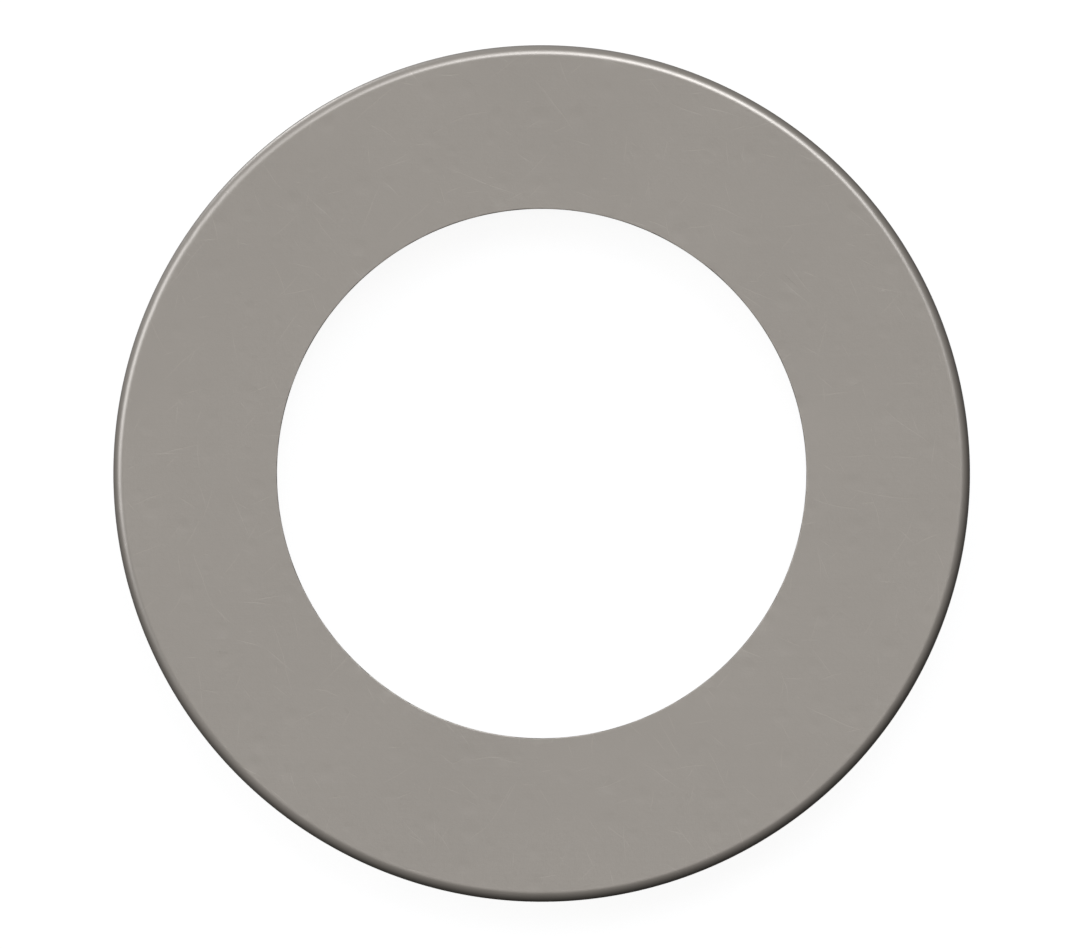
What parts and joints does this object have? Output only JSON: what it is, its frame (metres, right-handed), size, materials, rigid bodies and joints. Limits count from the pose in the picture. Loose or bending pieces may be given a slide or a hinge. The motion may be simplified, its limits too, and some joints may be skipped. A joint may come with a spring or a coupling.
{
  "type": "flat washer",
  "caption": "Plain flat ring washer with a straight central bore and a rounded outer edge, which spreads the load of a screw head or nut over the surface under it.",
  "frame": {"origin": "centre of the bore in the plane of the lower bearing face", "axes": "+Z along the bore axis, out of the upper face, whose outer edge is rounded; the ring is the same in every direction around +Z"},
  "size_m": [0.034, 0.034, 0.003],
  "materials": {
    "steel": "satin"
  },
  "bodies": {
    "root": {"washer": "steel"}
  },
  "joints": []
}
